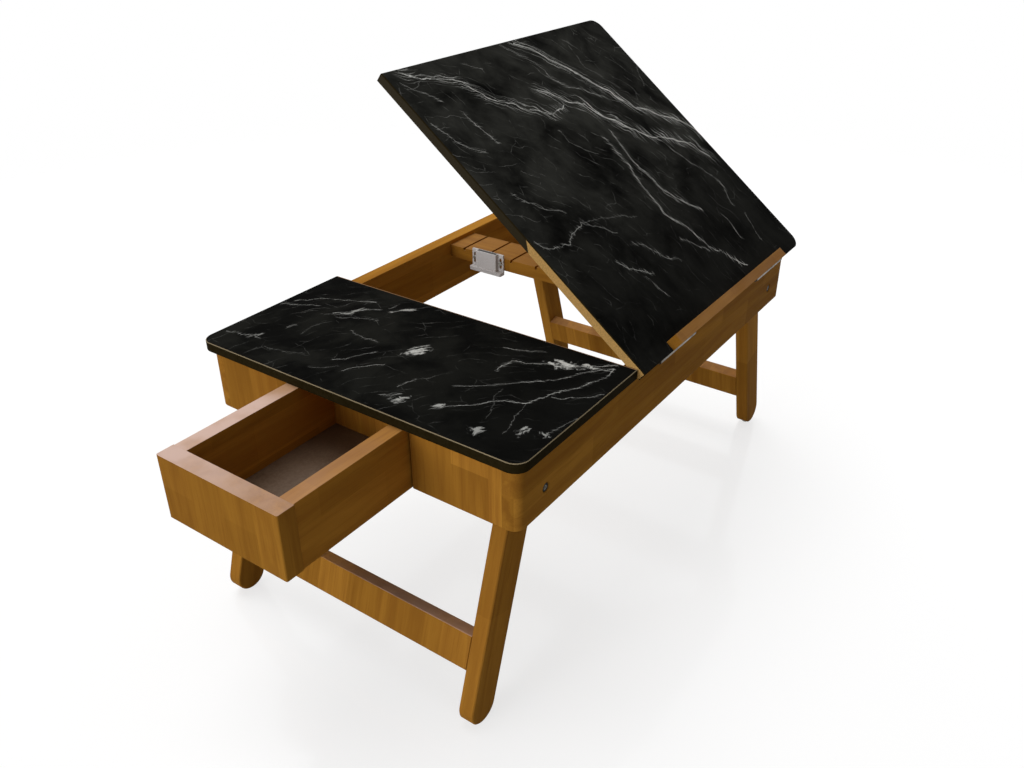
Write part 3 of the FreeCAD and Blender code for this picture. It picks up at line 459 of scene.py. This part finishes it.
def stone(
    name,
    turn,
    origin,
    up,
    flow_centre,
    streams,
    knots,
    cloud,
    haze,
    faintness,
    bevel,
    seed,
    split_x=None,
):
    """Black marble-pattern laminate.

    The pattern lies in the face's own plane, in millimetres from origin: x along the table, and y
    up the face from its hinge-side edge. turn lays the face level, and up is its normal.

    flow_centre is the place that the veins flow round. streams and knots are listed above.
    cloud is the clouds' colour, the heights up the face where a painted light leaves them faintest
    and strongest, and how soft their borders are. haze is how brightly they gather along the
    streams.
    faintness is how bright the threads and cracks between the streams are. bevel is the colour
    of the rim's bevel. seed says which part of the noise is used. split_x is where the split edge
    is, if the pale core shows along it as a thin line.
    """
    g = Graph(name)
    face = g.stretch(g.place(turn=turn, origin=origin), (1 / MM, 1 / MM, 0))
    shifted = g.vector("ADD", face, seed * SEED_STEP)
    wander = push(g, shifted, WANDER_SCALE, WANDER_REACH, detail=2, rough=0.5)
    jitter = push(g, shifted, JITTER_SCALE, JITTER_REACH, detail=5, rough=0.68)
    place = g.vector("ADD", g.vector("ADD", face, wander), jitter)
    flow = along_and_across(g, place, flow_centre)

    cloud_colour, painted_dim_at, painted_bright_at, softness = cloud
    # Painted light: the clouds, the faint threads and the crazing are brighter higher up the face
    height = g.vector("DOT_PRODUCT", face, (0, 1, 0))
    strength = g.span(height, painted_dim_at, painted_bright_at, 0.25, 1.0)
    patches = g.noise(shifted, scale=PATCH_SCALE, detail=3, rough=0.6)
    near, core = stream_threads(g, place, streams)
    core = g.maths("MULTIPLY", core, g.span(patches, 0.34, 0.56, 0.30, 1.0))
    strands = g.maths("MULTIPLY", threads(g, flow, **STRANDS), near)
    wisps = g.maths("MULTIPLY", threads(g, flow, **WISPS), near)
    wisps = g.maths("MULTIPLY", wisps, WISPS_SHARE)
    faint = g.span(patches, 0.38, 0.62, 0, faintness)
    faint = g.maths("MULTIPLY", threads(g, flow, **FAINT), faint)
    crazing = g.span(patches, 0.50, 0.66, 0, CRAZING_SHARE * faintness)
    crazing = g.maths("MULTIPLY", cracks(g, place), crazing)
    between = g.maths("MULTIPLY", g.maths("MAXIMUM", faint, crazing), strength)
    veins = g.maths("MAXIMUM", core, strands)
    veins = g.maths("MAXIMUM", veins, g.maths("MAXIMUM", wisps, between))
    flakes = g.noise(sized(g, flow, FLAKE_SIZE), detail=4, rough=0.6, distortion=0.5)
    for centre, reach, brightness in knots:
        offset = g.vector("SUBTRACT", flow, flow_of(centre, flow_centre))
        distance = g.vector("LENGTH", sized(g, offset, reach))
        fullness = g.maths("ADD", flakes, g.span(distance, KNOT_REACH, 0, 0, 0.20))
        flake = g.span(fullness, 0.56, 0.72, 0, brightness)
        flake = g.maths("MULTIPLY", flake, g.span(distance, KNOT_REACH, 0.9))
        veins = g.maths("MAXIMUM", veins, flake)

    mottling = g.noise(shifted, scale=MOTTLE_SCALE, detail=6, rough=0.58, distortion=0.4)
    streaks = g.noise(sized(g, flow, STREAK_SIZE), detail=5, rough=0.65)
    clouds = g.span(mottling, 0.5 - softness, 0.5 + softness, 0.05, 0.80)
    shade = g.maths("ADD", clouds, g.span(streaks, 0.3, 0.7, -0.10, 0.10))
    glow = g.maths("MULTIPLY", near, g.span(streaks, 0.35, 0.65, 0, haze))
    shade = g.maths("ADD", g.maths("MULTIPLY", shade, strength), glow, clamp=True)
    colour = g.blend(shade, screen(MARBLE_BLACK), screen(cloud_colour))
    grain = g.noise(shifted, scale=GRAIN_SCALE, detail=4, rough=0.65)
    veins = g.maths("MULTIPLY", veins, g.span(grain, 0.30, 0.55, 0.6, 1.0), clamp=True)
    colour = g.blend(veins, colour, screen(VEIN_WHITE))

    if split_x:
        along = g.vector("DOT_PRODUCT", face, (1, 0, 0))
        line = g.span(along, split_x - SPLIT_LINE, split_x - SPLIT_LINE + SPLIT_LINE_FADE)
        colour = g.blend(line, colour, screen(SPLIT_BROWN))
    square = g.facing(up)
    colour = g.blend(g.span(square, 0.60, 0.35), colour, screen(BAND_BROWN))
    rim = g.maths("MULTIPLY", g.span(square, 0.97, 0.90), g.span(square, 0.35, 0.60))
    colour = g.blend(rim, colour, screen(bevel))
    return g.finish(
        Base_Color=colour,
        Roughness=g.span(grain, 0.3, 0.7, LAMINATE_GLOSS, LAMINATE_GLOSS + 0.10),
        Normal=g.bump(grain, 0.06, LAMINATE_GRAIN_DEPTH),
        IOR=LAMINATE_IOR,
    )


def push(g, vector, scale, reach, detail, rough):
    """A noise that pushes each place to either side, by up to about half of reach."""
    colour = g.noise(vector, scale=scale, detail=detail, rough=rough, colour=True)
    return g.stretch(g.vector("SUBTRACT", colour, (0.5, 0.5, 0.5)), (reach, reach, 0))


def sized(g, vector, size):
    """A vector in the plane, measured in sizes instead of millimetres."""
    return g.stretch(vector, (1 / size[0], 1 / size[1], 0))


def flow_of(point, centre):
    """How far a point lies along and across the arcs round a centre."""
    offset = Vector(point) - Vector(centre)
    return (math.atan2(offset.y, offset.x) * FLOW_RADIUS, offset.length, 0)


def along_and_across(g, place, centre):
    """flow_of for each place on the face."""
    offset = g.vector("SUBTRACT", place, (*centre, 0))
    parts = g.add("ShaderNodeSeparateXYZ", {0: offset}).outputs
    along = g.maths("MULTIPLY", g.maths("ARCTAN2", parts["Y"], parts["X"]), FLOW_RADIUS)
    across = g.vector("LENGTH", offset)
    return g.add("ShaderNodeCombineXYZ", {"X": along, "Y": across}).outputs[0]


def stream_threads(g, place, streams):
    """How strongly each place belongs to a stream, and the streams' brightest threads."""
    near, core = 0.0, 0.0
    for brightness, spread, path in streams:
        distance = distance_to_path(g, place, path)
        around = g.span(distance, STREAM_REACH * spread, 0, 0, brightness)
        near = g.maths("MAXIMUM", near, around)
        half_width = CORE_HALF_WIDTH * (CORE_LEAST + brightness)
        core = g.maths("MAXIMUM", core, g.span(distance, half_width, 0, 0, brightness))
    return near, core


def threads(g, flow, period, sway, half_width, sparse, shift):
    """Fine threads, about period apart, that run with the flow, sway across it and come and go.

    The higher sparse is, the fewer of them show.
    """
    flow = g.vector("ADD", flow, shift)
    swaying = g.noise(sized(g, flow, SWAY_SIZE), detail=1)
    swaying = g.maths("MULTIPLY", g.maths("SUBTRACT", swaying, 0.5), 2 * sway)
    across = g.maths("ADD", g.vector("DOT_PRODUCT", flow, (0, 1, 0)), swaying)
    thread = g.span(g.maths("PINGPONG", across, period / 2), half_width, 0)
    shown = g.noise(sized(g, flow, (SHOWN_LENGTH, SHOWN_PERIODS * period)), detail=2)
    return g.maths("MULTIPLY", thread, g.span(shown, sparse - 0.09, sparse + 0.09))


def cracks(g, place):
    """Thin cracks that part and join: the borders between cells."""
    inputs = {"Vector": sized(g, place, CRAZING_CELL), "Scale": 1.0}
    settings = {"voronoi_dimensions": "2D", "feature": "DISTANCE_TO_EDGE"}
    cells = g.add("ShaderNodeTexVoronoi", inputs, **settings)
    return g.span(cells.outputs["Distance"], CRAZING_WIDTH, 0)


def distance_to_path(g, place, path):
    """How far a place on the face is from a chain of straight runs."""
    nearest = None
    for start, end in zip(path, path[1:]):
        run = Vector((end[0] - start[0], end[1] - start[1], 0))
        offset = g.vector("SUBTRACT", place, (*start, 0))
        travel = g.vector("DOT_PRODUCT", offset, run)
        travel = g.maths("DIVIDE", travel, run.length_squared, clamp=True)
        foot = g.add("ShaderNodeVectorMath", {0: run, "Scale": travel}, operation="SCALE")
        distance = g.vector("DISTANCE", offset, foot.outputs[0])
        nearest = distance if nearest is None else g.maths("MINIMUM", nearest, distance)
    return nearest


# ---------------------------------------------------------------- other materials

BAND_IOR = 1.02
BAND_TINT = (1.0, 0.85, 0.55, 1.0)
FINE_BUMP = 0.05 * MM
MOULDED_EDGE = 0.3 * MM
MOULDED_WEAR = 0.5 * MM

# The stain on the panel's split edge: where it starts up the slope, in millimetres from the hinge
# line, how far its end leans for each millimetre of height, and over how much it fades in
STAIN_START = 140.0
STAIN_LEAN = 1.2
STAIN_FADE = 1.5
CHIP_SCALE = 0.9
RAW_CORE_IOR = 1.2

BRUSHED_BUMP = 0.03 * MM
BRUSHED_EDGE = 0.2 * MM
BRUSHED_SPOT_SCALE = 160

SOCKET_REACH = 1.75 * MM
SOCKET_FADE = 0.3 * MM
BOLT_SPOT_SCALE = 700
BOLT_IOR = 1.1


def speckled(name, base, spread, scale, roughness, bump=0.1, **extra):
    """A sheet or moulding: one tone with a fine speckle, a soft drift and worn edges.

    spread is how far the speckle goes lighter and darker, and scale is its size per metre.
    """
    g = Graph(name)
    local = g.place()
    speck = g.noise(local, scale=scale, detail=4, rough=0.6)
    drift = g.noise(local, scale=scale / 18, detail=2)
    lighter = [min(255, value + spread) for value in base]
    darker = [max(0, value - spread) for value in base]
    colour = g.blend(g.span(speck, 0.3, 0.7), screen(darker), screen(lighter))
    colour = g.blend(g.span(drift, 0.3, 0.7, 0, 0.4), colour, screen(base))
    worn = g.maths("MULTIPLY", g.edge(MOULDED_WEAR), g.span(speck, 0.45, 0.65, 0, 0.5))
    palest = [min(255, value + 3 * spread) for value in base]
    colour = g.blend(worn, colour, screen(palest))
    rough = g.span(speck, 0.3, 0.7, roughness, roughness + 0.12)
    normal = g.bump(speck, bump, FINE_BUMP, MOULDED_EDGE)
    return g.finish(Base_Color=colour, Roughness=rough, Normal=normal, **extra)


def panel_core_edge():
    """The panel's raw core. The upper part of its split edge, towards the drawer, is stained."""
    g = Graph("raw_core_panel")
    face = g.place(turn=(-PANEL_TILT, 0, 0), origin=HINGE_LINE, scale=(1 / MM, 1 / MM, 1 / MM))
    chips = g.noise(face, scale=CHIP_SCALE, detail=4, rough=0.6)
    darker = [value * 0.86 for value in RAW_CORE]
    core = g.blend(g.span(chips, 0.3, 0.7), screen(darker), screen(RAW_CORE))
    stain = g.blend(g.span(chips, 0.3, 0.7), screen(EDGE_STAIN), screen(BAND_BROWN))
    slope = g.vector("DOT_PRODUCT", face, (0, 1, 0))
    rise = g.vector("DOT_PRODUCT", face, (0, 0, 1))
    slanted = g.maths("ADD", slope, g.maths("MULTIPLY", rise, -STAIN_LEAN))
    upper = g.span(slanted, STAIN_START, STAIN_START + STAIN_FADE)
    split_edge = g.span(g.facing((-1, 0, 0)), 0.4, 0.6)
    colour = g.blend(g.maths("MULTIPLY", upper, split_edge), core, stain)
    roughness = g.span(chips, 0.3, 0.7, 0.45, 0.65)
    normal = g.bump(chips, 0.2, FINE_BUMP)
    return g.finish(Base_Color=colour, Roughness=roughness, Normal=normal, IOR=RAW_CORE_IOR)


def brushed(name, base, axis_stretch, roughness):
    """Plated steel with a fine brushed grain and darker, duller spots."""
    g = Graph(name)
    local = g.place(scale=axis_stretch)
    lines = g.noise(local, scale=1.0, detail=3, rough=0.6)
    spots = g.noise(g.place(), scale=BRUSHED_SPOT_SCALE, detail=3)
    darker = [value * 0.7 for value in base]
    darkest = [value * 0.55 for value in base]
    colour = g.blend(g.span(lines, 0.3, 0.7), screen(darker), screen(base))
    colour = g.blend(g.span(spots, 0.55, 0.75, 0, 0.5), colour, screen(darkest))
    rough = g.span(spots, 0.3, 0.8, roughness, roughness + 0.25)
    normal = g.bump(lines, 0.12, BRUSHED_BUMP, BRUSHED_EDGE)
    return g.finish(Base_Color=colour, Metallic=1.0, Roughness=rough, Normal=normal)


def shade_ringed_bolts():
    """The four pivot bolts: heads painted near black, as painted shade for the gap round each
    head, with pale grey in their sockets.

    They lie along y on two axes, one at each end of their common box.
    """
    g = Graph("shade_ringed_bolts")
    low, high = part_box("pivot_bolts")
    head_radius = (high[2] - low[2]) / 2
    distances = []
    for axis_x in (low[0] + head_radius, high[0] - head_radius):
        offset = g.vector("SUBTRACT", g.place(), (axis_x, 0, low[2] + head_radius))
        distances.append(g.vector("LENGTH", g.stretch(offset, (1, 0, 1))))
    distance = g.maths("MINIMUM", *distances)
    # Painted shade: near black on each head outside its socket
    ring_shade = g.span(distance, SOCKET_REACH, SOCKET_REACH + SOCKET_FADE)
    spots = g.noise(g.place(), scale=BOLT_SPOT_SCALE, detail=3)
    ring_shade = g.maths("MULTIPLY", ring_shade, g.span(spots, 0.2, 0.6, 0.85, 1.0))
    colour = g.blend(ring_shade, screen(SOCKET_GREY), screen(BOLT_RING_SHADE))
    roughness = g.span(spots, 0.3, 0.7, 0.35, 0.50)
    return g.finish(Base_Color=colour, Roughness=roughness, IOR=BOLT_IOR)


# ---------------------------------------------------------------- finishes by node

# Where each face's pattern is measured from: its corner at the hinge side and the drawer end
SHELF_CORNER = Vector((cad_box[0][0] + 132 * MM, -171.447 * MM, 0))
PANEL_CORNER = HINGE_LINE + Vector((-49.33 * MM, 0, 0))
LEVEL = (0, 0, 1)
PANEL_UP = (0, -math.sin(PANEL_TILT), math.cos(PANEL_TILT))

# Each board's grain, and the seed that says which timber it is cut from
BOARDS = {
    "front_rail": (GRAIN_ALONG, 1),
    "back_rail": (GRAIN_ALONG, 2),
    "end_board_drawer_front": (GRAIN_UP, 3),
    "end_board_drawer_back": (GRAIN_UP, 4),
    "end_board_far": (GRAIN_UP, 5),
    "drawer_guide_front": (GRAIN_ALONG, 6),
    "drawer_guide_back": (GRAIN_ALONG, 7),
    "drawer_runner_front": (GRAIN_ALONG, 8),
    "drawer_runner_back": (GRAIN_ALONG, 9),
    "drawer_stop_rail": (GRAIN_ACROSS, 10),
    "bay_rail": (GRAIN_ACROSS, 11),
    "grooved_bar": (GRAIN_ACROSS, 12),
    "drawer_front": (GRAIN_UP, 13),
    "drawer_side_front": (GRAIN_ALONG, 14),
    "drawer_side_back": (GRAIN_ALONG, 15),
    "drawer_back": (GRAIN_UP, 16),
    "drawer_stop_block": (GRAIN_ACROSS, 17),
    "book_lip": (GRAIN_ALONG, 18),
    "drawer_end_leg_front": (turned_grain(-1), 19),
    "drawer_end_leg_back": (turned_grain(-1), 20),
    "drawer_end_stretcher": (turned_grain(-1), 21),
    "far_end_leg_front": (turned_grain(1), 22),
    "far_end_leg_back": (turned_grain(1), 23),
    "far_end_stretcher": (turned_grain(1), 24),
}
TONES = {
    "front_rail": 0.93,
    "drawer_front": 0.94,
    "drawer_side_front": 1.17,
    "end_board_drawer_front": 1.08,
    "end_board_drawer_back": 0.88,
    "grooved_bar": 0.85,
    # The book lip is darkened as painted shade
    "book_lip": 0.74,
    "far_end_leg_back": 0.85,
}
# The painted sheen on each board's top: at the hinge side, at the back side, and its fade run
SHEEN_TOPS = {
    "drawer_front": (0.34, 0.85, SHORT_FADE),
    "drawer_side_back": (0.85, 0.85, SHORT_FADE),
    "drawer_side_front": (0.20, 0.20, LONG_FADE),
    "drawer_back": (0.2, 0.2, SHORT_FADE),
    "grooved_bar": (0.15, 0.15, SHORT_FADE),
    "book_lip": (0.2, 0.2, SHORT_FADE),
    "drawer_end_stretcher": (0.9, 0.1, SHORT_FADE),
    "far_end_stretcher": (0.3, 0.3, SHORT_FADE),
}
PLATED_NODES = (
    "hinge_rail_leaves",
    "hinge_panel_leaves",
    "hinge_pins",
    "strike_plate",
    "bail_clips",
    "prop_bail",
)
SCREW_NODES = ("hinge_rail_screws", "hinge_panel_screws", "bail_clip_screws", "catch_screws")

# The brushed grain's scales per metre
BRUSHED_ACROSS = (60, 900, 900)
BRUSHED_EVENLY = (700, 700, 700)

finishes = {
    node: wood("wood_" + node, grain, seed, TONES.get(node, 1.0), SHEEN_TOPS.get(node))
    for node, (grain, seed) in BOARDS.items()
}
finishes["fixed_top_laminate"] = stone(
    "marble_shelf",
    turn=(0, 0, 0),
    origin=SHELF_CORNER,
    up=LEVEL,
    flow_centre=SHELF_FLOW_CENTRE,
    streams=SHELF_STREAMS,
    knots=SHELF_KNOTS,
    cloud=(SHELF_CLOUD, 0, 240, 0.11),
    haze=0.4,
    faintness=0.13,
    bevel=BEVEL_CREAM,
    seed=3,
    split_x=(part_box("fixed_top_laminate")[1][0] - SHELF_CORNER.x) / MM,
)
finishes["panel_laminate"] = stone(
    "marble_panel",
    turn=(-PANEL_TILT, 0, 0),
    origin=PANEL_CORNER,
    up=PANEL_UP,
    flow_centre=PANEL_FLOW_CENTRE,
    streams=PANEL_STREAMS,
    knots=[],
    cloud=(PANEL_LIT_CLOUD, 20, 260, 0.20),
    haze=0.16,
    faintness=0.20,
    bevel=BAND_BROWN,
    seed=1,
)
finishes["fixed_top_core"] = speckled("raw_core_shelf", RAW_CORE, 12, 700, 0.6, 0.3)
finishes["panel_core"] = panel_core_edge()
finishes["drawer_bottom"] = speckled("drawer_base", BASE_BOARD, 10, 500, 0.45)
band = speckled("edge_band", BAND_BROWN, 4, 300, 0.25, 0.02, IOR=BAND_IOR, Specular_Tint=BAND_TINT)
finishes["fixed_top_edge_band"] = band
finishes["panel_edge_band"] = band
plated = brushed("plated_steel", HINGE_STEEL, BRUSHED_ACROSS, 0.3)
for node in PLATED_NODES:
    finishes[node] = plated
screws = brushed("screw_steel", SCREW_STEEL, BRUSHED_EVENLY, 0.3)
for node in SCREW_NODES:
    finishes[node] = screws
finishes["pivot_bolts"] = shade_ringed_bolts()
nuts = brushed("bolt_steel", BOLT_STEEL, BRUSHED_EVENLY, 0.35)
finishes["pivot_washers"] = nuts
finishes["pivot_nuts"] = nuts
finishes["catch_body"] = speckled("catch_plastic", CATCH_GREY, 8, 900, 0.35)
finishes["catch_magnet"] = speckled("magnet", MAGNET_GREY, 8, 900, 0.4)
glides = speckled("glide_plastic", GLIDE_CLEAR, 8, 600, 0.35)
finishes["drawer_end_glides"] = glides
finishes["far_end_glides"] = glides

for node, finish in finishes.items():
    mesh = nodes[node].data
    mesh.materials.clear()
    mesh.materials.append(finish)
    for polygon in mesh.polygons:
        polygon.use_smooth = True
missing = sorted(set(nodes) - set(finishes))
assert not missing, missing

# ---------------------------------------------------------------- floor, light, camera

FLOOR_SIZE = 12.0
FLOOR_TONE = 0.33
FLOOR_GLOW = 0.71
FLOOR_ROUGHNESS = 0.12
FLOOR_IOR = 1.3
# How far from the middle the floor starts to fade out, and how far it reaches, in metres
FLOOR_FADE = (0.8, 1.8)
# The sky's light from the hinge side and from the back, and each lamp's direction and strength
SKY_LEVELS = (0.20, 0.48)
KEY_FROM = Vector((0.10, 0.30, 0.95))
KEY_LEVEL = 1.35
KEY_SOFTNESS = math.radians(45)
FRONT_FROM = Vector((-1.0, 0.20, 0.28))
FRONT_LEVEL = 1.15
FRONT_SOFTNESS = math.radians(25)


def background_rays(g):
    """1 for the rays that show the background: from the camera, off a gloss or through glass."""
    paths = g.add("ShaderNodeLightPath").outputs
    seen = g.maths("MAXIMUM", paths["Is Camera Ray"], paths["Is Glossy Ray"])
    return g.maths("MAXIMUM", seen, paths["Is Transmission Ray"])


def lit_floor():
    """A polished pale floor. It keeps the stand's shadow and fades out into the white background.

    From below it is clear, so that the underside can be looked at.
    """
    g = Graph("pale_floor")
    glow = g.maths("MULTIPLY", background_rays(g), FLOOR_GLOW)
    shader = g.add(
        "ShaderNodeBsdfPrincipled",
        {
            "Base Color": (FLOOR_TONE, FLOOR_TONE, FLOOR_TONE, 1),
            "Roughness": FLOOR_ROUGHNESS,
            "IOR": FLOOR_IOR,
            "Emission Color": (1, 1, 1, 1),
            "Emission Strength": glow,
        },
    )
    reach = g.vector("LENGTH", g.place())
    clear = g.add("ShaderNodeBsdfTransparent")
    below = g.add("ShaderNodeNewGeometry").outputs["Backfacing"]
    gone = g.maths("MAXIMUM", g.span(reach, *FLOOR_FADE), below)
    faded = g.add("ShaderNodeMixShader", {0: gone, 1: shader.outputs[0], 2: clear.outputs[0]})
    g.tree.links.new(faded.outputs[0], g.output.inputs["Surface"])
    return g.material


bpy.ops.mesh.primitive_plane_add(size=FLOOR_SIZE)
floor = bpy.context.object
floor.name = "floor"
floor.data.materials.append(lit_floor())

world = bpy.data.worlds.new("studio")
bpy.context.scene.world = world
sky = Graph("studio", world, "ShaderNodeOutputWorld")
heading = sky.add("ShaderNodeTexCoord").outputs["Generated"]
towards_back = sky.vector("DOT_PRODUCT", heading, (0, 1, 0))
level = sky.maths("MAXIMUM", background_rays(sky), sky.span(towards_back, -1, 1, *SKY_LEVELS))
backdrop = sky.add("ShaderNodeBackground", {"Color": (1, 1, 1, 1), "Strength": level})
sky.tree.links.new(backdrop.outputs[0], sky.output.inputs["Surface"])


def sun(name, come_from, level, softness):
    """A soft, even light from one direction."""
    light = bpy.data.lights.new(name, "SUN")
    light.energy = level
    light.angle = softness
    holder = bpy.data.objects.new(name, light)
    holder.rotation_euler = come_from.to_track_quat("Z", "Y").to_euler()
    bpy.context.scene.collection.objects.link(holder)


sun("key", KEY_FROM, KEY_LEVEL, KEY_SOFTNESS)
sun("front", FRONT_FROM, FRONT_LEVEL, FRONT_SOFTNESS)

camera_data = bpy.data.cameras.new("portrait")
camera_data.lens = CAMERA_LENS
camera_data.shift_x, camera_data.shift_y = CAMERA_SHIFT
camera = bpy.data.objects.new("portrait", camera_data)
bpy.context.scene.collection.objects.link(camera)
turn = Euler((QUARTER - CAMERA_DIP, 0, CAMERA_HEADING - QUARTER)).to_matrix()
roll = Matrix.Rotation(CAMERA_ROLL, 3, "Z")
camera.matrix_world = Matrix.Translation(CAMERA_PLACE) @ (turn @ roll).to_4x4()
bpy.context.scene.camera = camera
bpy.context.scene.view_settings.view_transform = "Standard"
